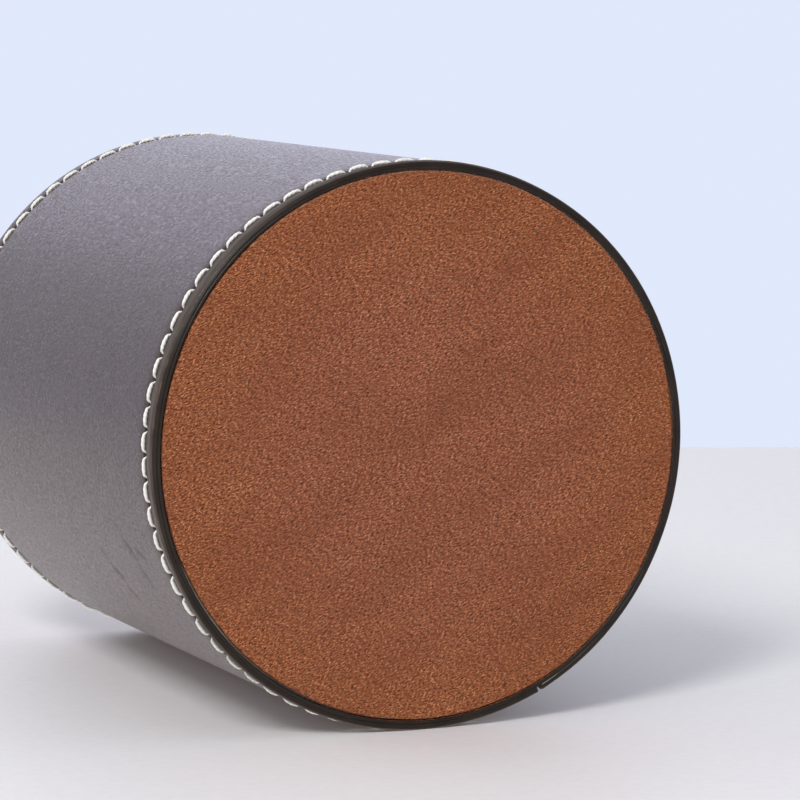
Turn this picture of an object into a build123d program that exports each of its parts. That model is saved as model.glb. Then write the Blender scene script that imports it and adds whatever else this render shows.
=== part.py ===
from build123d import *
import os
from math import pi, radians, tan

# A round pen holder: a leather sleeve and a suede lining, sewn together at both rims over a board
# tube, and closed by a base. Its axis is Z, it stands on z = 0, and the sleeve's butt seam is at +Y.
# All sizes are in millimetres and all angles in degrees.

# Overall size
outer_diameter = 80.0
height = 98.0

# Sheets and boards
leather_thickness = 0.7
lining_thickness = 0.45
tube_thickness = 1.2
base_pad_thickness = 1.0
base_board_thickness = 1.5

# Glue lines and fits
glue_line = 0.05
board_clearance = 0.1
pad_clearance = 0.15
floor_clearance = 0.15
row_clearance = 0.25
pad_proud = 0.1

# Edges
leather_edge_bevel = 0.15
base_pad_edge_bevel = 0.3
floor_pad_edge_bevel = 0.5

# Butt seam of the sleeve, with rounded corners at its two ends
seam_angle = 90.0
seam_gap = 0.45
seam_corner_radius = 0.5

# Slope of the lining where it leaves the tube's end and folds out to the leather
fold_angle = 45.0

# Stitching: the needle thread stands up outside, and the bobbin thread is pulled flatter inside
stitch_pitch = 3.5
thread_diameter = 0.65
needle_rise = 0.3
bobbin_rise = 0.1
thread_seat = 0.03
foot_share = 0.6
lift_by_pitch_share = {0.0: 0.0, 0.3: 1.0, 0.7: 1.0}

# Cuts run this far past what they cut
overrun = 1.0

# Radii, from the outside in
outer_radius = outer_diameter / 2
leather_inner_radius = outer_radius - leather_thickness
rim_lining_radius = leather_inner_radius - glue_line
rim_inner_radius = rim_lining_radius - lining_thickness
tube_inner_radius = rim_lining_radius - tube_thickness
wall_lining_radius = tube_inner_radius - glue_line
wall_inner_radius = wall_lining_radius - lining_thickness

# The floor pad is dropped in through the mouth, so it passes the top row's bobbin thread too
bobbin_inner_radius = rim_inner_radius - thread_seat - thread_diameter - bobbin_rise
floor_pad_radius = min(wall_inner_radius, bobbin_inner_radius) - floor_clearance

# The lining's fold, as rise along the axis, and the drop of its inner face below its outer one
fold_rise = (rim_lining_radius - wall_lining_radius) / tan(radians(fold_angle))
fold_drop = lining_thickness * tan(radians(fold_angle / 2))

# Levels, from the bottom up: the row of stitches runs between the base board and the fold
bottom_rim = pad_proud
base_board_bottom = base_pad_thickness
floor_pad_bottom = base_board_bottom + base_board_thickness
bottom_row = floor_pad_bottom + row_clearance + thread_diameter / 2
fold_bottom = bottom_row + thread_diameter / 2 + row_clearance + fold_drop
tube_bottom = fold_bottom + fold_rise

# The top rim is sewn as the bottom one is
stitch_inset = bottom_row - bottom_rim
rim_depth = tube_bottom - bottom_rim
top_row = height - stitch_inset
tube_top = height - rim_depth

# An even number of stitches goes round each row, so that a row is two like halves
half_row_count = round(pi * outer_diameter / stitch_pitch / 2)
stitch_angle = 180 / half_row_count


def ring(radius, inner_radius, bottom, top):
    """A plain tube between two levels."""
    wall = Cylinder(radius, top - bottom) - Cylinder(inner_radius, top - bottom)
    return Pos(0, 0, (bottom + top) / 2) * wall


def disc(radius, bottom, top):
    """A flat round piece between two levels."""
    return Pos(0, 0, (bottom + top) / 2) * Cylinder(radius, top - bottom)


def leather_sleeve():
    """One sheet, rolled up until its two short edges nearly meet, with bevelled painted edges."""
    sleeve = ring(outer_radius, leather_inner_radius, bottom_rim, height)
    outer_edges = sleeve.edges().filter_by(GeomType.CIRCLE).group_by(SortBy.RADIUS)[-1]
    sleeve = chamfer(outer_edges, leather_edge_bevel)
    cut_depth = leather_thickness + 2 * overrun
    cut = Pos(0, 0, (bottom_rim + height) / 2) * Box(cut_depth, seam_gap, height + 2 * overrun)
    for rim_level in (bottom_rim, height):
        cut += Pos(0, 0, rim_level) * Rot(0, 90, 0) * Cylinder(seam_corner_radius, cut_depth)
    wall_radius = (outer_radius + leather_inner_radius) / 2
    return sleeve - Rot(0, 0, seam_angle) * Pos(wall_radius, 0, 0) * cut


def folded_lining():
    """One sheet inside the tube, folded outwards past both ends of it to reach the leather."""
    outer_face = Polyline(
        (rim_lining_radius, 0, bottom_rim),
        (rim_lining_radius, 0, tube_bottom - fold_rise),
        (wall_lining_radius, 0, tube_bottom),
        (wall_lining_radius, 0, tube_top),
        (rim_lining_radius, 0, tube_top + fold_rise),
        (rim_lining_radius, 0, height),
    )
    inner_face = Polyline(
        (rim_inner_radius, 0, height),
        (rim_inner_radius, 0, tube_top + fold_rise + fold_drop),
        (wall_inner_radius, 0, tube_top + fold_drop),
        (wall_inner_radius, 0, tube_bottom - fold_drop),
        (rim_inner_radius, 0, tube_bottom - fold_rise - fold_drop),
        (rim_inner_radius, 0, bottom_rim),
    )
    top_edge = Line(outer_face @ 1, inner_face @ 0)
    bottom_edge = Line(inner_face @ 1, outer_face @ 0)
    return revolve(make_face([outer_face, top_edge, inner_face, bottom_edge]), axis=Axis.Z)


def stitch_row(surface_radius, outward, rise, level):
    """A thread that arches from needle hole to needle hole, and thins where it enters each hole."""

    def section(pitches, lift):
        thickness = thread_diameter * (foot_share + (1 - foot_share) * lift)
        stand = thread_seat + thickness / 2 + rise * lift
        turn = Rot(0, 0, seam_angle + stitch_angle * pitches)
        place = turn * Pos(surface_radius + outward * stand, 0, level) * Rot(90, 0, 0)
        return place * Rectangle(thickness, thread_diameter)

    # The first hole is half a stitch past the seam, so that one stitch bridges it
    sections = []
    for stitch in range(half_row_count):
        for pitch_share, lift in lift_by_pitch_share.items():
            sections.append(section(1 / 2 + stitch + pitch_share, lift))
    sections.append(section(1 / 2 + half_row_count, 0))
    half_row = loft(sections, ruled=True)
    return half_row + Rot(0, 0, 180) * half_row


base_pad = disc(rim_inner_radius - pad_clearance, 0, base_pad_thickness)
base_pad = chamfer(base_pad.edges().group_by(Axis.Z)[0], base_pad_edge_bevel)

floor_pad = disc(floor_pad_radius, floor_pad_bottom, tube_bottom)
floor_pad = chamfer(floor_pad.edges().group_by(Axis.Z)[-1], floor_pad_edge_bevel)

nodes = {
    "outer_leather": leather_sleeve(),
    "stiffener_tube": ring(rim_lining_radius, tube_inner_radius, tube_bottom, tube_top),
    "lining": folded_lining(),
    "base_pad": base_pad,
    "base_board": disc(rim_inner_radius - board_clearance, base_board_bottom, floor_pad_bottom),
    "floor_pad": floor_pad,
    "top_needle_thread": stitch_row(outer_radius, 1, needle_rise, top_row),
    "top_bobbin_thread": stitch_row(rim_inner_radius, -1, bobbin_rise, top_row),
    "bottom_needle_thread": stitch_row(outer_radius, 1, needle_rise, bottom_row),
    "bottom_bobbin_thread": stitch_row(rim_inner_radius, -1, bobbin_rise, bottom_row),
}

os.makedirs("parts", exist_ok=True)
for name, solid in nodes.items():
    export_step(solid, f"parts/{name}.step")
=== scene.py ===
import math
import bpy
import numpy as np
from mathutils import Matrix, Vector


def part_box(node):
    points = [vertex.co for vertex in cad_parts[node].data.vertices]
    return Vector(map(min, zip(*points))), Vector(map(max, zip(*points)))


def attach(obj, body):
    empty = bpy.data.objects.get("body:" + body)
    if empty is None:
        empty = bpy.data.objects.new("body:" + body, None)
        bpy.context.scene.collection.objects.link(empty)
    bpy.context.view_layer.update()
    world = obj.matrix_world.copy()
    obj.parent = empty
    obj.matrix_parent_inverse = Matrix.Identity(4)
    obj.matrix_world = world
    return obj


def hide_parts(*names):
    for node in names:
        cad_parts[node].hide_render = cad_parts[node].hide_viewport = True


# A round pen holder in stitched imitation leather, with suede inside and under it. Its axis is Z, it
# stands on z = 0, and the sleeve's butt seam is at +Y. All sizes are in metres, angles in degrees.
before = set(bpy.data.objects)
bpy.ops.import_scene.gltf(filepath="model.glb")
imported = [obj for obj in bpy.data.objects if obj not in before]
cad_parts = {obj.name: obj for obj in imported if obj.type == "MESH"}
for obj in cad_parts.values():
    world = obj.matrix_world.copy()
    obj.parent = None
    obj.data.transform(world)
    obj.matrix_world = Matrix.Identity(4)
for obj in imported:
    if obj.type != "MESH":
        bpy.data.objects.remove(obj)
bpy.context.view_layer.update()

mm = 0.001
full_turn = 2 * math.pi
random_seed = 20
random = np.random.default_rng(random_seed)

# Sizes of the solids
leather_low, leather_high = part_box("outer_leather")
base_low, base_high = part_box("base_pad")
floor_low, floor_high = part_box("floor_pad")
outer_radius = leather_high.x
bottom_rim = leather_low.z
top_rim = leather_high.z
lining_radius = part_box("lining")[1].x
tube_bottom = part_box("stiffener_tube")[0].z
base_radius = base_high.x
floor_radius = floor_high.x


def row_level(node):
    """Height of the line of needle holes that a thread runs along."""
    low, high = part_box(node)
    return (low.z + high.z) / 2


bottom_row = row_level("bottom_needle_thread")
top_row = row_level("top_needle_thread")

# Sheets and the butt seam
leather_thickness = 0.7 * mm
lining_thickness = 0.45 * mm
tube_thickness = 1.2 * mm
glue_line = 0.05 * mm
fold_angle = 45.0
seam_angle = 90.0
seam_gap = 0.45 * mm
seam_corner = 0.5 * mm

# Stitches
stitch_count = 72
thread_radius = 0.3 * mm

rim_inner_radius = lining_radius - lining_thickness
wall_lining_radius = lining_radius - tube_thickness - glue_line
wall_inner_radius = wall_lining_radius - lining_thickness
stitch_turn = full_turn / stitch_count
seam_turn = math.radians(seam_angle)


# Meshes

def grid_faces(rows, columns, loop_rows, loop_columns):
    """Four-sided faces between the neighbours in a grid of points, closed where the grid loops."""
    row, column = np.meshgrid(
        np.arange(rows if loop_rows else rows - 1),
        np.arange(columns if loop_columns else columns - 1),
        indexing="ij",
    )
    next_row = (row + 1) % rows
    next_column = (column + 1) % columns
    corners = (
        row * columns + column,
        row * columns + next_column,
        next_row * columns + next_column,
        next_row * columns + column,
    )
    return np.stack(corners, axis=-1).reshape(-1, 4)


def add_piece(name, points, faces, materials, node=None, face_material=None, marks=None):
    """A smooth mesh piece that rides on the holder, and stands for a solid if a node is named."""
    mesh = bpy.data.meshes.new(name)
    mesh.from_pydata(points.tolist(), [], [list(map(int, face)) for face in faces])
    mesh.polygons.foreach_set("use_smooth", np.ones(len(mesh.polygons), bool))
    for material in materials:
        mesh.materials.append(material)
    if face_material is not None:
        mesh.polygons.foreach_set("material_index", face_material.astype(np.int32))
    for mark, values in (marks or {}).items():
        mesh.attributes.new(mark, "FLOAT", "POINT").data.foreach_set("value", values)
    mesh.validate()
    mesh.update()
    piece = bpy.data.objects.new(name, mesh)
    bpy.context.scene.collection.objects.link(piece)
    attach(piece, "root")
    if node:
        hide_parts(node)
    return piece


def wander(angles, waves, size):
    """A smooth, closed unevenness round the holder, made of a few waves."""
    total = np.zeros_like(angles)
    for wave in waves:
        total += np.sin(wave * angles + random.uniform(0, full_turn)) / len(waves)
    return size * total


def polar(radii, angles, levels):
    """Points from radius, angle and level."""
    return np.stack((radii * np.cos(angles), radii * np.sin(angles), levels), axis=-1)


def bell(distance, reach):
    """A smooth hump that is 1 at no distance and fades out past its reach."""
    return np.exp(-((distance / reach) ** 2) / 2)


def unit(vectors):
    """Vectors in rows, each brought to length 1."""
    return vectors / np.linalg.norm(vectors, axis=1, keepdims=True)


# Materials

def new_material(name):
    """A material and its shader."""
    material = bpy.data.materials.new(name)
    material.use_nodes = True
    return material, material.node_tree.nodes["Principled BSDF"]


def add_node(owner, kind, links=None, values=None, **settings):
    """A shader node with its settings, its socket values and its incoming links."""
    node = owner.node_tree.nodes.new(kind)
    for setting, value in settings.items():
        setattr(node, setting, value)
    for socket, value in (values or {}).items():
        node.inputs[socket].default_value = value
    for socket, source in (links or {}).items():
        link(owner, source, node, socket)
    return node


def link(owner, source, node, socket):
    """A link from an output to a named or numbered input of a node."""
    owner.node_tree.links.new(source, node.inputs[socket])


def noise(material, place, scale, detail=2.0, roughness=0.5, distortion=0.0):
    """A cloudy pattern between 0 and 1."""
    return add_node(
        material,
        "ShaderNodeTexNoise",
        {"Vector": place},
        {"Scale": scale, "Detail": detail, "Roughness": roughness, "Distortion": distortion},
    ).outputs["Fac"]


def blend(owner, factor, first, second, mode="MIX"):
    """A mix of two colours, each a written colour or a socket."""
    node = add_node(owner, "ShaderNodeMix", data_type="RGBA", blend_type=mode)
    for index, source in ((0, factor), (6, first), (7, second)):
        if isinstance(source, bpy.types.NodeSocket):
            link(owner, source, node, index)
        elif index:
            node.inputs[index].default_value = (*source, 1)
        else:
            node.inputs[index].default_value = source
    return node.outputs[2]


def spread(owner, value, low, high, to_low=0.0, to_high=1.0):
    """A value stretched from one range to another, and held at its ends."""
    return add_node(
        owner,
        "ShaderNodeMapRange",
        {"Value": value},
        {"From Min": low, "From Max": high, "To Min": to_low, "To Max": to_high},
    ).outputs["Result"]


def maths(owner, operation, first, second):
    """The result of a sum on two values, the second of them a number or a socket."""
    if isinstance(second, bpy.types.NodeSocket):
        return add_node(owner, "ShaderNodeMath", {0: first, 1: second}, operation=operation).outputs[0]
    return add_node(owner, "ShaderNodeMath", {0: first}, {1: second}, operation=operation).outputs[0]


def bump(material, height, distance, below=None):
    """Relief as deep as a distance, over other relief if it is given."""
    links = {"Height": height}
    if below:
        links["Normal"] = below
    return add_node(
        material, "ShaderNodeBump", links, {"Distance": distance, "Strength": 1.0}
    ).outputs["Normal"]


def place_of(material, scale=(1, 1, 1), turn=0.0):
    """Places on the object, turned about its axis and stretched."""
    place = add_node(material, "ShaderNodeTexCoord").outputs["Object"]
    return add_node(
        material,
        "ShaderNodeMapping",
        {"Vector": place},
        {"Scale": scale, "Rotation": (0, 0, math.radians(turn))},
    ).outputs["Vector"]


def wrapped_place(material, scale):
    """Places on the unrolled wall: along the circumference from the seam, then along the axis."""
    place = add_node(material, "ShaderNodeTexCoord").outputs["Object"]
    parts = add_node(material, "ShaderNodeSeparateXYZ", {"Vector": place})
    back = maths(material, "MULTIPLY", parts.outputs["Y"], -1.0)
    turn = maths(material, "ARCTAN2", parts.outputs["X"], back)
    arc = maths(material, "MULTIPLY", turn, outer_radius)
    flat = add_node(material, "ShaderNodeCombineXYZ", {"X": arc, "Y": parts.outputs["Z"]})
    return add_node(
        material, "ShaderNodeMapping", {"Vector": flat.outputs[0]}, {"Scale": scale}
    ).outputs["Vector"]


def mark_of(material, name):
    """A mark that a mesh carries at its points."""
    return add_node(material, "ShaderNodeAttribute", attribute_name=name).outputs["Fac"]


def leather_material():
    """Dark satin imitation leather with a fine brushed grain, with painted shade in the needle holes and
    creases.
    """
    cool_tone = (0.034, 0.023, 0.025)
    warm_tone = (0.047, 0.0285, 0.027)
    fleck_tone = (0.087, 0.056, 0.056)
    brushed_tone = (0.08, 0.052, 0.052)
    strip_dark_tone = (0.042, 0.03, 0.024)
    strip_light_tone = (0.08, 0.056, 0.045)
    painted_shade_tone = (0.004, 0.003, 0.003)
    strip_finish = (0.8, 0.8, 0.8)
    hole_finish = (1.0, 1.0, 1.0)
    brushed_finish_share = 0.25
    pebble_depth = 0.02 * mm
    grain_depth = 0.075 * mm
    brushed_depth = 0.004 * mm

    material, shader = new_material("imitation_leather")
    place = place_of(material)
    grain_place = place_of(material, scale=(1.0, 1.0, 0.45))
    brushed_place = wrapped_place(material, scale=(0.16, 1.0, 1.0))
    cloud = noise(material, place, scale=90.0, detail=4.0)
    fleck = noise(material, place, scale=3000.0, detail=2.0, roughness=0.6)
    grain = noise(material, grain_place, scale=2600.0, detail=3.0, roughness=0.6)
    brushed = noise(material, brushed_place, scale=1500.0, detail=4.0, roughness=0.65)
    pebble = add_node(
        material, "ShaderNodeTexVoronoi", {"Vector": grain_place}, {"Scale": 2000.0}, feature="SMOOTH_F1"
    ).outputs["Distance"]
    strip = mark_of(material, "strip")
    hole = mark_of(material, "hole")

    tone = blend(material, spread(material, cloud, low=0.3, high=0.7), cool_tone, warm_tone)
    flecks = spread(material, fleck, low=0.35, high=0.65, to_high=0.75)
    tone = blend(material, flecks, tone, fleck_tone)
    lines = spread(material, brushed, low=0.4, high=0.7, to_high=0.25)
    tone = blend(material, lines, tone, brushed_tone)
    streaks = spread(material, brushed, low=0.38, high=0.62)
    tone = blend(material, strip, tone, blend(material, streaks, strip_dark_tone, strip_light_tone))
    # The hole mark paints shade into the needle holes and along the creases, darkening them almost to
    # black.
    link(material, blend(material, hole, tone, painted_shade_tone), shader, "Base Color")

    worked = blend(material, brushed_finish_share, grain, brushed)
    finish = spread(material, worked, low=0.35, high=0.65, to_low=0.22, to_high=0.5)
    finish = blend(material, strip, finish, strip_finish)
    link(material, blend(material, hole, finish, hole_finish), shader, "Roughness")
    shader.inputs["Sheen Weight"].default_value = 0.1
    shader.inputs["Sheen Roughness"].default_value = 0.3
    shader.inputs["Sheen Tint"].default_value = (0.95, 0.9, 1.0, 1)
    normal = bump(material, pebble, pebble_depth)
    normal = bump(material, grain, grain_depth, normal)
    link(material, bump(material, brushed, brushed_depth, normal), shader, "Normal")
    return material


def edge_material():
    """Edge paint on the cut edges of the sheets, with pale backing where the paint is missing."""
    dark_tone = (0.011, 0.006, 0.003)
    light_tone = (0.019, 0.011, 0.006)
    worn_tone = (0.24, 0.13, 0.08)
    raw_tone = (0.62, 0.57, 0.5)
    grain_depth = 0.02 * mm

    material, shader = new_material("edge_paint")
    place = place_of(material)
    cloud = noise(material, place, scale=300.0, detail=3.0)
    grain = noise(material, place, scale=3000.0, detail=2.0)
    tone = blend(material, spread(material, cloud, low=0.35, high=0.65), dark_tone, light_tone)
    tone = blend(material, mark_of(material, "worn"), tone, worn_tone)
    tone = blend(material, mark_of(material, "raw"), tone, raw_tone)
    link(material, tone, shader, "Base Color")
    finish = spread(material, grain, low=0.3, high=0.7, to_low=0.36, to_high=0.5)
    link(material, finish, shader, "Roughness")
    shader.inputs["Specular IOR Level"].default_value = 0.34
    link(material, bump(material, grain, grain_depth), shader, "Normal")
    return material


def suede_material():
    """Rust suede: a short nap brushed one way, with painted shade in its hollows and a painted highlight on
    its tips, more orange towards the rim.
    """
    orange_dye = (0.45, 0.115, 0.045)
    pink_dye = (0.44, 0.16, 0.09)
    nap_hollow_shade_tone = (0.05, 0.01, 0.005)
    nap_tip_highlight_tone = (0.85, 0.41, 0.23)
    cloud_tone = (0.17, 0.047, 0.026)
    rim_tint = (1.05, 1.02, 0.82)
    warmth_start = 18 * mm
    warmth_end = 39 * mm
    nap_depth = 0.3 * mm
    tip_depth = 0.1 * mm

    material, shader = new_material("suede")
    place = place_of(material, scale=(0.33, 1.0, 0.33), turn=-20.0)
    nap = noise(material, place, scale=5400.0, detail=3.0, roughness=0.65, distortion=0.3)
    tips = noise(material, place, scale=6800.0, detail=2.0, roughness=0.6, distortion=0.2)
    cloud = noise(material, place, scale=110.0, detail=5.0, roughness=0.65)
    hue = noise(material, place, scale=3600.0, detail=2.0, roughness=0.6)
    dyed = blend(material, spread(material, hue, low=0.35, high=0.65), orange_dye, pink_dye)
    # Painted shade where the nap's relief sinks, and a painted highlight where its tips rise: the same
    # patterns drive the bumps below.
    tone = blend(material, spread(material, nap, low=0.36, high=0.64), nap_hollow_shade_tone, dyed)
    tone = blend(material, spread(material, tips, low=0.54, high=0.66, to_high=0.8), tone, nap_tip_highlight_tone)
    tone = blend(material, spread(material, cloud, low=0.35, high=0.65, to_high=0.4), tone, cloud_tone)
    flat_place = place_of(material, scale=(1, 1, 0))
    across = add_node(material, "ShaderNodeVectorMath", {0: flat_place}, operation="LENGTH")
    warmth = spread(material, across.outputs["Value"], low=warmth_start, high=warmth_end)
    link(material, blend(material, warmth, tone, rim_tint, "MULTIPLY"), shader, "Base Color")
    shader.inputs["Roughness"].default_value = 0.95
    shader.inputs["Specular IOR Level"].default_value = 0.15
    shader.inputs["Sheen Weight"].default_value = 0.2
    shader.inputs["Sheen Roughness"].default_value = 0.5
    shader.inputs["Sheen Tint"].default_value = (0.75, 0.4, 0.28, 1)
    normal = bump(material, nap, nap_depth)
    link(material, bump(material, tips, tip_depth, normal), shader, "Normal")
    return material


def fibre_material():
    """Loose suede fibres, coloured lighter than the nap below them: a painted highlight for the light they
    catch.
    """
    dark_tone = (0.3, 0.12, 0.07)
    light_tone = (0.6, 0.34, 0.24)

    material, shader = new_material("suede_fibre")
    hue = noise(material, place_of(material), scale=900.0, detail=2.0)
    link(material, blend(material, hue, dark_tone, light_tone), shader, "Base Color")
    shader.inputs["Roughness"].default_value = 0.8
    return material


def thread_material():
    """White waxed thread, with a little painted shade between its fibres."""
    dark_tone = (0.74, 0.72, 0.67)
    light_tone = (0.9, 0.89, 0.86)
    fibre_depth = 0.02 * mm

    material, shader = new_material("thread")
    fibres = noise(material, place_of(material), scale=5000.0, detail=3.0, roughness=0.6)
    # Painted shade where the fibre relief sinks
    tone = blend(material, spread(material, fibres, low=0.3, high=0.7), dark_tone, light_tone)
    link(material, tone, shader, "Base Color")
    finish = spread(material, fibres, low=0.3, high=0.7, to_low=0.5, to_high=0.7)
    link(material, finish, shader, "Roughness")
    shader.inputs["Sheen Weight"].default_value = 0.1
    link(material, bump(material, fibres, fibre_depth), shader, "Normal")
    return material


def board_material():
    """Grey pressed board with flecks of fibre."""
    dark_tone = (0.2, 0.18, 0.15)
    light_tone = (0.34, 0.31, 0.27)
    fleck_depth = 0.05 * mm

    material, shader = new_material("board")
    fleck = noise(material, place_of(material), scale=900.0, detail=4.0, roughness=0.7)
    tone = blend(material, spread(material, fleck, low=0.35, high=0.65), dark_tone, light_tone)
    link(material, tone, shader, "Base Color")
    shader.inputs["Roughness"].default_value = 0.9
    link(material, bump(material, fleck, fleck_depth), shader, "Normal")
    return material


leather = leather_material()
edge_paint = edge_material()
suede = suede_material()
fibre = fibre_material()
thread = thread_material()
board = board_material()

# The bottom row of stitches drifts away from the rim on one side
row_drift = 0.9 * mm
drift_angle = 248.0
drift_reach = 2.5 * mm


def drift_of(level, angles):
    """How far a row of stitches stands above its level at each angle."""
    if level != bottom_row:
        return np.zeros_like(angles)
    return row_drift * np.cos(angles - math.radians(drift_angle)).clip(0)


# Net of the leather sleeve, which is finest at the needle holes and at the seam's corners
hole_steps = np.array((0.1, 0.2, 0.32, 0.5, 0.75, 1.05, 1.4)) * mm
row_steps = np.array((0.1, 0.2, 0.32, 0.5, 0.75, 1.05, 1.4, 1.75)) * mm
row_outer_steps = np.array((2.2, 2.8, 3.6, 4.6)) * mm
half_wall_rows = 12
inner_rows = 6
corner_columns = 6
corner_margin_share = 1.2

# Rolled rims of the sleeve, as a height along the axis and a depth into the sheet
roll_height = 0.5 * mm
roll_depth = 0.35 * mm
roll_steps = 9
rim_shares = (0.62, 0.8, 1.0)
rim_flare = 0.22 * mm
rim_fade = 2.5 * mm
rim_wave = 0.1 * mm
bottom_waves = (2, 3, 5, 8)
top_waves = (2, 3, 5, 7)
edge_wave = 0.05 * mm
edge_waves = (3, 7, 12, 21)

# What the stitches and the seam do to the sleeve
channel_depth = 0.2 * mm
channel_reach = 1.0 * mm
dimple_depth = 0.08 * mm
dimple_reach = 0.35 * mm
hole_depth = 0.5 * mm
hole_reach = 0.18 * mm
# Reach of the shade painted into and round each needle hole
hole_shade_reach = 0.38 * mm
seam_lift = 0.12 * mm
seam_lift_reach = 0.9 * mm

# Creases low on the wall, each from one turn and level to another
crease_ends = (
    ((93.0, 34.0 * mm), (80.0, 29.2 * mm)),
    ((101.0, 21.0 * mm), (86.0, 14.5 * mm)),
    ((96.5, 15.5 * mm), (93.5, 12.5 * mm)),
)
crease_depth = 0.07 * mm
crease_reach = 0.85 * mm
crease_sway = 0.4 * mm
crease_sways = 3
crease_patches = 5
crease_patch_share = 0.4
# Creases also get painted shade, at this share of a needle hole's
crease_shade_share = 0.26
crease_top = 36.0 * mm
crease_row = 0.45 * mm

# Finish of the bottom rim: edge paint from partway down the roll, a line where it is worn, the pale
# backing beside the seam, and a duller strip between the rim and the stitches
painted_share = 0.5
worn_share = 0.7
worn_start = 122.0
worn_end = 140.0
worn_waves = (37, 61, 90, 140)
worn_contrast = 2.0
worn_level = 0.5
worn_fade_power = 0.5
raw_share = 0.9
raw_by_turn = {-18.0: 0.0, -12.0: 0.2, -5.0: 0.3, -4.2: 1.0, -1.2: 1.0, -0.6: 0.0}
strip_fade = 0.5 * mm


def hole_distance(angles, radius):
    """Distance along the row from each angle to the nearest needle hole."""
    pitches = (angles - seam_turn) / stitch_turn
    return (pitches - np.floor(pitches) - 1 / 2) * stitch_turn * radius


def pulled_in(along, levels):
    """How deep the two rows of stitches pull a sheet in."""
    depth = np.zeros(np.broadcast(along, levels).shape)
    for level in (bottom_row, top_row):
        across = levels - level
        away = np.hypot(along, across)
        depth += channel_depth * bell(across, channel_reach)
        depth += dimple_depth * bell(away, dimple_reach) + hole_depth * bell(away, hole_reach)
    return depth


def near_hole(along, levels):
    """How near each point is to a needle hole, which sets the shade painted into the holes."""
    nearness = np.zeros(np.broadcast(along, levels).shape)
    for level in (bottom_row, top_row):
        nearness += bell(np.hypot(along, levels - level), hole_shade_reach)
    return nearness


def creased(turns, levels):
    """How deep each point lies in the few faint creases low on the wall, as a share of their depth."""
    total = np.zeros(levels.shape)
    for (start_turn, start_level), (end_turn, end_level) in crease_ends:
        along = np.clip((np.degrees(turns) - start_turn) / (end_turn - start_turn), 0, 1)[None, :]
        line = start_level + (end_level - start_level) * along
        line = line + crease_sway * np.sin(crease_sways * math.pi * along)
        patches = np.cos(crease_patches * math.pi * along + start_turn)
        patchy = 1 - crease_patch_share + crease_patch_share * patches
        total += bell(levels - line, crease_reach) * patchy * np.sqrt(np.sin(math.pi * along).clip(0))
    return total


def mirrored(levels):
    """The same levels, counted from the other rim."""
    return bottom_rim + top_rim - levels


def sleeve_turns():
    """Turns from the seam to the columns of the sleeve's net."""
    around_hole = np.concatenate((-hole_steps[::-1], [0], hole_steps)) / outer_radius
    holes = (np.arange(stitch_count) + 1 / 2) * stitch_turn
    turns = (holes[:, None] + around_hole[None, :]).ravel()
    seam_edge = seam_gap / 2 / outer_radius
    corner_end = seam_corner / outer_radius
    clear_turn = corner_end * corner_margin_share
    turns = turns[(turns > clear_turn) & (turns < full_turn - clear_turn)]
    ends = np.linspace(seam_edge, corner_end, corner_columns)
    return np.concatenate((ends, turns, full_turn - ends[::-1]))


def sleeve_profile():
    """Levels once round the sheet's section, and how far each point lies inside the outer face."""
    rolls = np.linspace(0, math.pi / 2, roll_steps)
    roll_levels = bottom_rim + roll_height * (1 - np.sin(rolls))
    roll_drops = roll_depth * (1 - np.cos(rolls))
    rim_drops = leather_thickness * np.array(rim_shares)
    row_levels = bottom_row + np.concatenate((row_outer_steps[::-1], row_steps[::-1], [0], -row_steps))

    def half(wall):
        """One half, from the middle of the outer face down round the rim and in."""
        half_levels = np.concatenate((wall, row_levels, roll_levels, np.full(len(rim_drops), bottom_rim)))
        wall_drops = np.zeros(len(wall) + len(row_levels))
        return half_levels, np.concatenate((wall_drops, roll_drops, rim_drops))

    middle = (bottom_rim + top_rim) / 2
    plain_wall = np.linspace(middle, row_levels[0], half_wall_rows)[:-1]
    crease_rows = np.arange(crease_top, row_levels[0], -crease_row)
    lower_levels, lower_drops = half(np.concatenate((plain_wall[plain_wall > crease_top], crease_rows)))
    upper_levels, upper_drops = half(plain_wall)
    inner_levels = np.linspace(top_rim, bottom_rim, inner_rows + 2)[1:-1]
    inner_drops = np.full(inner_rows, leather_thickness)
    levels = np.concatenate((lower_levels[::-1], mirrored(upper_levels[1:]), inner_levels))
    drops = np.concatenate((lower_drops[::-1], upper_drops[1:], inner_drops))
    return levels, drops


def rim_marks(turns, levels, drops):
    """Where the bottom rim shows its pale backing, where its paint is worn, and its duller strip."""
    at_bottom = levels < bottom_rim + roll_height
    beside = np.degrees(np.where(turns > math.pi, turns - full_turn, turns))
    along_raw = np.interp(beside, list(raw_by_turn), list(raw_by_turn.values()))
    inner_edge = (drops > leather_thickness * raw_share) & at_bottom
    worn_middle = (worn_start + worn_end) / 2
    worn_reach = (worn_end - worn_start) / 2
    along_worn = np.clip(1 - np.abs(np.degrees(turns) - worn_middle) / worn_reach, 0, 1)
    patchy = np.clip(wander(turns, worn_waves, worn_contrast) + worn_level, 0, 1)
    outer_edge = (drops > roll_depth * painted_share) & (drops < roll_depth * worn_share) & at_bottom
    strip = np.clip((bottom_row - levels) / strip_fade, 0, 1)
    return {
        "raw": (inner_edge[:, None] * along_raw[None, :]).ravel(),
        "worn": (outer_edge[:, None] * (along_worn**worn_fade_power * patchy)[None, :]).ravel(),
        "strip": np.repeat(strip, len(turns)),
    }


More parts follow.
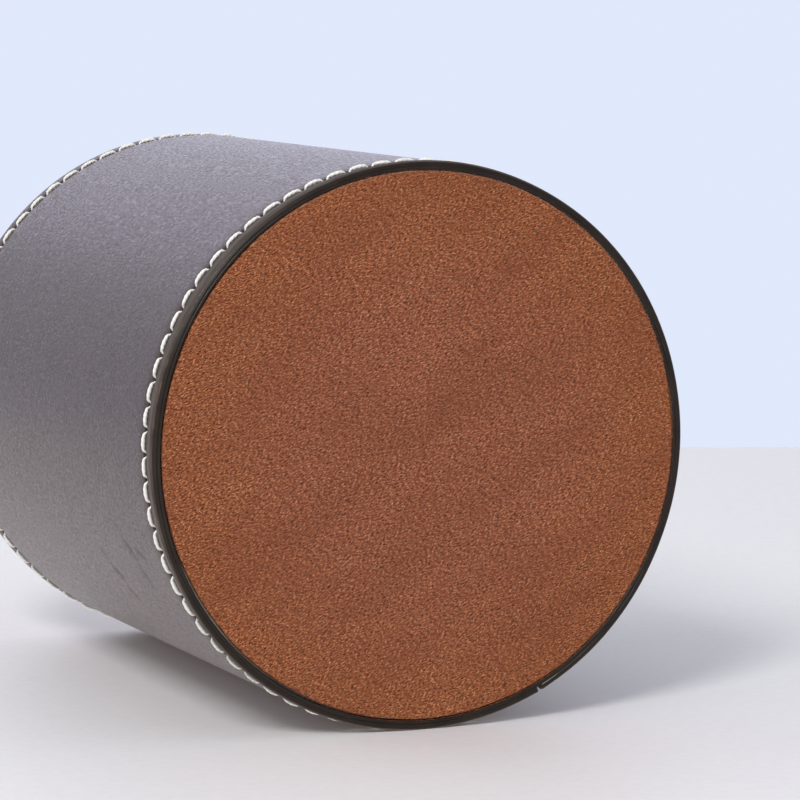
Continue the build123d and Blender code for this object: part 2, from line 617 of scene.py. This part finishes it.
def leather_sleeve():
    """One sheet rolled into a sleeve, with needle holes, rolled rims and painted edges."""
    turns = sleeve_turns()
    angles = seam_turn + turns
    levels, drops = sleeve_profile()
    level_grid, angle_grid = np.meshgrid(levels, angles, indexing="ij")
    drop_grid = np.repeat(drops[:, None], len(angles), axis=1)
    outer_share = 1 - drop_grid / leather_thickness
    from_seam = np.minimum(turns, full_turn - turns) * outer_radius
    corner = np.sqrt(np.clip(seam_corner**2 - from_seam**2, 0, None))
    near_bottom = np.clip(1 - (level_grid - bottom_rim) / rim_fade, 0, 1) ** 2
    near_top = np.clip(1 - (top_rim - level_grid) / rim_fade, 0, 1) ** 2

    along = hole_distance(angle_grid, outer_radius)
    crease = creased(turns, level_grid)
    depth = pulled_in(along, level_grid) + crease_depth * crease
    # Painted shade in the needle holes and along the creases, carried to the leather as the hole mark
    shade = near_hole(along, level_grid) + crease_shade_share * crease
    lift = seam_lift * np.exp(-(from_seam - seam_gap / 2) / seam_lift_reach) * (near_bottom + near_top)
    uneven = (rim_flare + wander(angles, bottom_waves, rim_wave)) * near_bottom
    uneven += wander(angles, top_waves, rim_wave) * near_top
    radii = outer_radius - drop_grid + outer_share * (uneven + lift - depth)
    level_grid = level_grid + corner * (near_bottom - near_top)
    for near_rim in (near_bottom, near_top):
        level_grid += wander(angles, edge_waves, edge_wave) * near_rim
    level_grid += drift_of(bottom_row, angles) * bell(level_grid - bottom_row, drift_reach) * outer_share
    points = polar(radii, angle_grid, level_grid).reshape(-1, 3)

    row_count = len(levels)
    column_count = len(angles)
    first = np.arange(row_count) * column_count
    last = first + column_count - 1
    faces = list(grid_faces(row_count, column_count, True, False)) + [first, last[::-1]]
    at_rim = np.minimum(levels - bottom_rim, top_rim - levels) < roll_height
    painted = (drops > roll_depth * painted_share) & at_rim
    painted_face = (painted & np.roll(painted, -1)).repeat(column_count - 1)
    return add_piece(
        "leather_sleeve",
        points,
        faces,
        [leather, edge_paint],
        node="outer_leather",
        face_material=np.concatenate((painted_face, [True, True])),
        marks={"hole": (shade * outer_share).ravel(), **rim_marks(turns, levels, drops)},
    )


sleeve = leather_sleeve()

# Lining, folded out past both ends of the tube
lining_columns_per_stitch = 8
lining_outer_points = 60
lining_inner_points = 140
lining_wave = 0.08 * mm
lining_waves = (3, 5, 8, 13)
lining_edge_share = 0.25
rounding_passes = 2
corner_cut_share = 0.25


def rounded(line):
    """An open line with its inner corners cut off a few times over."""
    for _ in range(rounding_passes):
        starts = line[:-1]
        ends = line[1:]
        first_cuts = starts * (1 - corner_cut_share) + ends * corner_cut_share
        last_cuts = starts * corner_cut_share + ends * (1 - corner_cut_share)
        cuts = np.stack((first_cuts, last_cuts), axis=1).reshape(-1, 2)
        line = np.concatenate((line[:1], cuts[1:-1], line[-1:]))
    return line


def lining_line(lower_half, count):
    """Points along one face of the lining from rim to rim, closest at its two folds."""
    upper_half = [(radius, mirrored(level)) for radius, level in lower_half[::-1]]
    line = rounded(np.array(lower_half + upper_half))
    steps = np.concatenate(([0], np.cumsum(np.hypot(*np.diff(line, axis=0).T))))
    shares = np.linspace(0, 1, count)
    at = shares**2 * (3 - 2 * shares) * steps[-1]
    return np.stack((np.interp(at, steps, line[:, 0]), np.interp(at, steps, line[:, 1])), axis=1)


def lining_sheet():
    """The sheet inside the tube, with painted edges at both rims."""
    fold_rise = (lining_radius - wall_lining_radius) / math.tan(math.radians(fold_angle))
    fold_drop = lining_thickness * math.tan(math.radians(fold_angle / 2))
    edge = lining_thickness * lining_edge_share
    outer_half = [
        (lining_radius, bottom_rim + edge),
        (lining_radius, tube_bottom - fold_rise),
        (wall_lining_radius, tube_bottom),
    ]
    inner_half = [
        (rim_inner_radius, bottom_rim + edge),
        (rim_inner_radius, tube_bottom - fold_rise - fold_drop),
        (wall_inner_radius, tube_bottom - fold_drop),
    ]
    outer_line = lining_line(outer_half, lining_outer_points)
    inner_line = lining_line(inner_half, lining_inner_points)[::-1]

    # The edge reaches over the glue line to close the rim against the leather
    rim_middle = (lining_radius + rim_inner_radius) / 2
    edge_radii = (lining_radius + glue_line * 2, rim_middle, rim_inner_radius + edge)
    top_edge = np.array([(radius, top_rim) for radius in edge_radii])
    bottom_edge = top_edge[::-1] * (1, 0) + (0, bottom_rim)
    profile = np.concatenate((outer_line, top_edge, inner_line, bottom_edge))
    inside = np.zeros(len(profile))
    inside[len(outer_line) + len(top_edge):len(profile) - len(bottom_edge)] = 1
    painted = inside == 0
    painted[:len(outer_line)] = False

    columns = stitch_count * lining_columns_per_stitch
    angles = seam_turn + np.linspace(0, full_turn, columns, endpoint=False)
    level_grid, angle_grid = np.meshgrid(profile[:, 1], angles, indexing="ij")
    depth = pulled_in(hole_distance(angle_grid, rim_inner_radius), level_grid)
    up_wall = (level_grid - bottom_rim) / (top_rim - bottom_rim)
    wave = wander(angles, lining_waves, lining_wave) * np.sin(math.pi * up_wall)
    radii = profile[:, :1] + inside[:, None] * (depth / 2 + wave)
    return add_piece(
        "suede_lining",
        polar(radii, angle_grid, level_grid).reshape(-1, 3),
        grid_faces(len(profile), columns, True, True),
        [suede, edge_paint],
        node="lining",
        face_material=(painted | np.roll(painted, -1)).repeat(columns),
    )


lining = lining_sheet()

# Suede discs
disc_cells = 240
disc_edge_steps = 6
disc_wave = 0.12 * mm
disc_waves = (2, 3, 5, 9, 14, 31)
nap_relief = 0.035 * mm
base_edge_radius = 0.35 * mm
floor_edge_radius = 0.5 * mm
base_shift = (0.14 * mm, -0.03 * mm)
floor_shift = (0, 0)


def suede_disc(name, node, radius, face_level, back_level, edge_radius, shift):
    """A round of suede with a soft edge, on an even net that has no pole in its middle."""
    steps = np.linspace(-1, 1, disc_cells + 1)
    a, b = np.meshgrid(steps, steps, indexing="ij")
    wide = np.abs(a) > np.abs(b)
    safe_a = np.where(a == 0, 1, a)
    safe_b = np.where(b == 0, 1, b)
    shares = np.where(wide, a, b)
    angles = np.where(wide, math.pi / 4 * b / safe_a, math.pi / 2 - math.pi / 4 * a / safe_b)
    flat_radius = radius - edge_radius
    net = polar(shares * flat_radius, angles, np.full(a.shape, face_level)).reshape(-1, 3)
    side = 1 if face_level > back_level else -1

    # The cut edge wanders, and the net follows it
    index = np.arange((disc_cells + 1) ** 2).reshape(disc_cells + 1, -1)
    border = np.concatenate((index[:-1, 0], index[-1, :-1], index[:0:-1, -1], index[0, :0:-1]))
    border_angles = np.arctan2(net[border, 1], net[border, 0])
    uneven = wander(border_angles, disc_waves, disc_wave)
    net_angles = np.arctan2(net[:, 1], net[:, 0])
    net_uneven = np.interp(net_angles, border_angles, uneven, period=full_turn)
    reach = np.hypot(net[:, 0], net[:, 1]) / flat_radius
    net[:, :2] *= (1 + net_uneven / radius * reach)[:, None]
    net[:, 2] += side * nap_relief * random.uniform(-1, 1, len(net))

    # Rings round the edge and down to the back
    count = len(border)
    rings = []
    for turn in np.linspace(0, math.pi / 2, disc_edge_steps)[1:]:
        ring_radius = flat_radius + edge_radius * math.sin(turn) + uneven
        ring_level = face_level - side * edge_radius * (1 - math.cos(turn))
        rings.append(polar(ring_radius, border_angles, np.full(count, ring_level)))
    rings.append(polar(flat_radius + edge_radius + uneven, border_angles, np.full(count, back_level)))
    points = np.concatenate([net] + rings)
    points[:, :2] += shift
    faces = list(grid_faces(disc_cells + 1, disc_cells + 1, False, False))
    ring_index = [border] + [len(net) + count * ring + np.arange(count) for ring in range(len(rings))]
    for inner, outer in zip(ring_index[:-1], ring_index[1:]):
        faces += list(np.stack((inner, np.roll(inner, -1), np.roll(outer, -1), outer), axis=1))
    faces.append(ring_index[-1])
    if side > 0:
        faces = [face[::-1] for face in faces]
    return add_piece(name, points, faces, [suede], node=node)


base_pad = suede_disc(
    "suede_base", "base_pad", base_radius, base_low.z, base_high.z, base_edge_radius, base_shift
)
floor_pad = suede_disc(
    "suede_floor", "floor_pad", floor_radius, floor_high.z, floor_low.z, floor_edge_radius, floor_shift
)

# Threads
sections_per_stitch = 28
thread_sides = 18
twist_length = 2.2 * mm
strand_count = 3
strand_offset_share = 0.42
needle_dive = 0.8 * mm
bobbin_dive = 0.35 * mm
dive_share = 0.18
swell_power = 0.8
end_share = 0.28
stitch_sway = 0.05 * mm
stitch_lift = 0.025 * mm


def strand_outline(turns):
    """How far a thread of round strands reaches at each turn round its middle, as a share of its radius."""
    strand = full_turn / strand_count
    off = (turns + strand / 2) % strand - strand / 2
    strand_radius = 1 - strand_offset_share
    past_offset = np.sqrt(strand_radius**2 - (strand_offset_share * np.sin(off)) ** 2)
    return strand_offset_share * np.cos(off) + past_offset


def stitch_row(name, node, surface_radius, outward, level):
    """One thread that dives into each needle hole and arches over the sheet to the next."""
    shares = np.linspace(0, 1, sections_per_stitch, endpoint=False)
    shares = shares - np.sin(full_turn * shares) / full_turn / 2
    arch = np.sin(math.pi * shares)
    swell = end_share + (1 - end_share) * arch**swell_power
    nearness = np.clip(1 - np.minimum(shares, 1 - shares) / dive_share, 0, 1)
    turns = (np.arange(stitch_count)[:, None] + shares[None, :] + 1 / 2) * stitch_turn
    lifts = random.normal(0, stitch_lift, stitch_count)[:, None] * arch[None, :]
    dive = needle_dive if outward > 0 else bobbin_dive
    stands = lifts + thread_radius * swell - dive * nearness - channel_depth * (1 + outward) / 2
    tilt = random.normal(0, stitch_sway, stitch_count)[:, None] * np.sin(full_turn * shares)[None, :]
    bow = random.normal(0, stitch_sway, stitch_count)[:, None] * arch[None, :]
    angles = seam_turn + turns.ravel()
    levels = level + (tilt + bow).ravel()
    if outward > 0:
        levels += drift_of(level, angles)
    path = polar(surface_radius + outward * stands.ravel(), angles, levels)

    # The strands turn a whole number of times round the thread, so that its ends meet
    following = np.roll(path, -1, axis=0)
    lengths = np.cumsum(np.linalg.norm(following - path, axis=1))
    lays = round(lengths[-1] / twist_length * strand_count) / strand_count
    twist = lengths / lengths[-1] * lays * full_turn
    ahead = unit(following - np.roll(path, 1, axis=0))
    across = unit(np.cross(ahead, (0.0, 0.0, 1.0)))
    up = np.cross(across, ahead)
    around = np.linspace(0, full_turn, thread_sides, endpoint=False)
    outline = strand_outline(around[None, :] - twist[:, None])
    reach = thread_radius * np.tile(swell, stitch_count)[:, None] * outline
    points = (
        path[:, None, :]
        + (reach * np.cos(around)[None, :])[:, :, None] * across[:, None, :]
        + (reach * np.sin(around)[None, :])[:, :, None] * up[:, None, :]
    ).reshape(-1, 3)
    faces = grid_faces(len(path), thread_sides, True, True)[:, ::-1]
    return add_piece(name, points, faces, [thread], node=node)


stitch_row("needle_thread_top", "top_needle_thread", outer_radius, 1, top_row)
stitch_row("bobbin_thread_top", "top_bobbin_thread", rim_inner_radius, -1, top_row)
stitch_row("needle_thread_bottom", "bottom_needle_thread", outer_radius, 1, bottom_row)
stitch_row("bobbin_thread_bottom", "bottom_bobbin_thread", rim_inner_radius, -1, bottom_row)

# Loose fibres of the base's suede: those at its cut edge are thickest round one angle and lean out, and
# those on its face lie along the nap
edge_fibres = 2400
face_fibres = 4200
fuzz_angle = 297.0
fuzz_spread = 45.0
nap_angle = 20.0
fibre_radius = 0.013 * mm
fibre_sides = 3
fibre_lengths = (0.15 * mm, 0.4 * mm)
fibre_edge_band = 0.25 * mm
fibre_width_by_share = {0.0: 1.0, 0.5: 0.8, 1.0: 0.25}
fibre_out_share = 0.7
fibre_stand_share = 0.35
fibre_spread_share = 0.35
fibre_sag_share = 0.3
fibre_side_hint = (0.3, 0.2, 1.0)


def loose_fibres(name, radius, level, side):
    """Thin tapered hairs that stand off a round of suede."""
    count = edge_fibres + face_fibres
    at_edge = np.arange(count) < edge_fibres
    fuzz_turns = np.radians(random.normal(fuzz_angle, fuzz_spread, count))
    turns = np.where(at_edge, fuzz_turns, random.uniform(0, full_turn, count))
    edge_radii = radius - fibre_edge_band * random.uniform(0, 1, count)
    face_radii = (radius - fibre_edge_band) * np.sqrt(random.uniform(0, 1, count))
    roots = polar(np.where(at_edge, edge_radii, face_radii), turns, np.full(count, level))

    outward = polar(np.ones(count), turns, np.zeros(count)) * fibre_out_share
    nap_turn = math.radians(nap_angle)
    nap_way = np.array((math.cos(nap_turn), math.sin(nap_turn), 0))
    brushed = nap_way * random.choice((-1, 1), count)[:, None]
    leaning = np.where(at_edge[:, None], outward, brushed)
    leaning = leaning + random.normal(0, fibre_spread_share, (count, 3))
    leaning[:, 2] = side * np.abs(leaning[:, 2] + fibre_stand_share)
    leaning = unit(leaning)
    lengths = random.uniform(*fibre_lengths, count)
    sag = random.normal(0, fibre_sag_share, (count, 3))
    across = unit(np.cross(leaning, fibre_side_hint))
    beside = np.cross(leaning, across)

    corners = []
    for share, width in fibre_width_by_share.items():
        middle = roots + (leaning * share + sag * share**2 / 2) * lengths[:, None]
        for turn in np.arange(fibre_sides) * full_turn / fibre_sides:
            way = across * math.cos(turn) + beside * math.sin(turn)
            corners.append(middle + fibre_radius * width * way)
    points = np.stack(corners, axis=1).reshape(-1, 3)
    wall = grid_faces(len(fibre_width_by_share), fibre_sides, False, True)[:, ::-1]
    starts = np.arange(count) * len(corners)
    root_end = np.arange(fibre_sides)
    tip_end = (len(corners) - fibre_sides + root_end)[::-1]
    faces = list((starts[:, None, None] + wall[None]).reshape(-1, 4))
    for end in (root_end, tip_end):
        faces += list(starts[:, None] + end[None, :])
    return add_piece(name, points, faces, [fibre])


loose_fibres("suede_base_fibres", base_radius, base_low.z, -1)

# The two boards keep their solids
for board_node in ("stiffener_tube", "base_board"):
    node_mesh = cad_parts[board_node].data
    node_mesh.materials.clear()
    node_mesh.materials.append(board)

# Directions of the desk that the holder lies on in the main view
desk_angle = 117.0
desk_turn = math.radians(desk_angle)
desk_out = Vector((math.cos(desk_turn), math.sin(desk_turn), 0))
desk_up = -desk_out
desk_right = Vector((-desk_up.y, desk_up.x, 0))
axis = Vector((0, 0, 1))
seam_side = Vector((0, 1, 0))

# Camera
camera_at = Vector((-0.16364, -0.15975, -0.52513))
camera_target = Vector((-0.00009, -0.00769, 0))
camera_lens = 184.11
camera_sensor = 36.0


def looking(place, target, up):
    """A placing that looks from one point to another, with up upwards in the picture."""
    forward = (target - place).normalized()
    right = forward.cross(up).normalized()
    upward = right.cross(forward)
    turn = Matrix((right, upward, -forward)).transposed().to_4x4()
    return Matrix.Translation(place) @ turn


camera_data = bpy.data.cameras.new("camera")
camera_data.lens = camera_lens
camera_data.sensor_width = camera_sensor
camera = bpy.data.objects.new("camera", camera_data)
bpy.context.scene.collection.objects.link(camera)
camera.matrix_world = looking(camera_at, camera_target, desk_up)
bpy.context.scene.camera = camera

# Stage: the holder lies on a desk in the main view and stands on a floor in the others, and each
# surface shows from its own side alone
stage_half_side = 1.2
desk_far_reach = 0.335
desk_gap = 0.1 * mm
floor_gap = 0.2 * mm
desk_tone = (0.735, 0.725, 0.75)
floor_tone = (0.8, 0.79, 0.81)
stage_mottle_share = 0.97


def stage_plane(name, centre, normal, forward, far_reach, tone):
    """A plain pale plane that is clear from behind."""
    material, shader = new_material(name)
    mottle = noise(material, place_of(material), scale=700.0, detail=2.0)
    dull_tone = tuple(stage_mottle_share * part for part in tone)
    tint = blend(material, spread(material, mottle, low=0.35, high=0.65), dull_tone, tone)
    link(material, tint, shader, "Base Color")
    shader.inputs["Roughness"].default_value = 0.55
    shader.inputs["Specular IOR Level"].default_value = 0.35
    back = add_node(material, "ShaderNodeNewGeometry").outputs["Backfacing"]
    clear = add_node(material, "ShaderNodeBsdfTransparent").outputs["BSDF"]
    mixed = add_node(material, "ShaderNodeMixShader", {0: back, 1: shader.outputs["BSDF"], 2: clear})
    link(material, mixed.outputs["Shader"], material.node_tree.nodes["Material Output"], "Surface")
    sideways = forward.cross(normal) * stage_half_side
    far = forward * far_reach
    near = -forward * stage_half_side
    corners = [near + sideways, far + sideways, far - sideways, near - sideways]
    mesh = bpy.data.meshes.new(name)
    mesh.from_pydata([centre + corner for corner in corners], [], [(0, 1, 2, 3)])
    mesh.materials.append(material)
    plane = bpy.data.objects.new(name, mesh)
    bpy.context.scene.collection.objects.link(plane)
    plane.visible_shadow = False
    plane.visible_diffuse = False
    return plane


sight = camera_target - camera_at
desk_forward = (sight - desk_up * sight.dot(desk_up)).normalized()
desk_middle = desk_out * (outer_radius + desk_gap)
stage_plane("desk", desk_middle, desk_up, desk_forward, desk_far_reach, desk_tone)
floor = stage_plane("floor", -axis * floor_gap, axis, seam_side, stage_half_side, floor_tone)
floor.visible_glossy = False

# World: an even pale light, and a pale blue background for what looks past the holder, which fades to
# dark on one side so that the leather has something to mirror
ambient_strength = 0.66
ambient_tone = (0.96, 0.98, 1.0, 1)
dark_tone = (0.075, 0.085, 0.1)
background_tone = (0.75, 0.81, 0.97)
dark_side = -desk_right * 0.8 - desk_up * 0.35 - axis * 0.6

world = bpy.data.worlds.new("studio")
bpy.context.scene.world = world
world.use_nodes = True
ambient = world.node_tree.nodes["Background"]
ambient.inputs["Color"].default_value = ambient_tone
ambient.inputs["Strength"].default_value = ambient_strength
heading = add_node(world, "ShaderNodeTexCoord").outputs["Generated"]
darkness = add_node(world, "ShaderNodeVectorMath", {0: heading}, {1: dark_side}, operation="DOT_PRODUCT")
paleness = spread(world, darkness.outputs["Value"], low=0.15, high=-0.5)
surround = blend(world, paleness, dark_tone, background_tone)
backdrop = add_node(world, "ShaderNodeBackground", {"Color": surround})
rays = add_node(world, "ShaderNodeLightPath").outputs
seen = maths(world, "MAXIMUM", rays["Is Camera Ray"], rays["Is Glossy Ray"])
seen = maths(world, "MAXIMUM", seen, rays["Is Transmission Ray"])
chosen = add_node(world, "ShaderNodeMixShader", {0: seen, 1: ambient.outputs[0], 2: backdrop.outputs[0]})
link(world, chosen.outputs[0], world.node_tree.nodes["World Output"], "Surface")

# Lamps, all at one distance from the holder's middle
lamp_distance = 1.1
steep_share = 0.9
holder_middle = Vector((0, 0, (bottom_rim + top_rim) / 2))


def lamp(name, direction, side, power, tint):
    """A square lamp that faces the holder."""
    data = bpy.data.lights.new(name, "AREA")
    data.shape = "SQUARE"
    data.size = side
    data.energy = power
    data.color = tint
    light = bpy.data.objects.new(name, data)
    bpy.context.scene.collection.objects.link(light)
    heading = direction.normalized()
    up = axis if abs(heading.z) < steep_share else seam_side
    light.matrix_world = looking(holder_middle + heading * lamp_distance, holder_middle, up)
    return light


key_direction = desk_up * 1.16 - desk_right - axis * 1.21
sheen_direction = axis * 0.92 + desk_right * 0.25 + desk_up * 0.3
desk_fill_direction = desk_out + axis * 0.25
side_fill_direction = axis * 0.7 - desk_right + desk_up * 0.4
lamp("key", key_direction, side=0.28, power=7.8, tint=(1.0, 0.98, 0.96))
lamp("sheen", sheen_direction, side=0.8, power=1.15, tint=(0.87, 0.8, 1.0))
overhead = lamp("overhead", axis, side=0.9, power=4.0, tint=(0.97, 0.98, 1.0))
lamp("desk_fill", desk_fill_direction, side=0.9, power=7.0, tint=(1.0, 0.84, 0.64))
side_fill = lamp("side_fill", side_fill_direction, side=0.7, power=3.0, tint=(1.0, 0.95, 0.9))
overhead.visible_glossy = False
side_fill.visible_glossy = False

bpy.context.scene.view_settings.view_transform = "Standard"
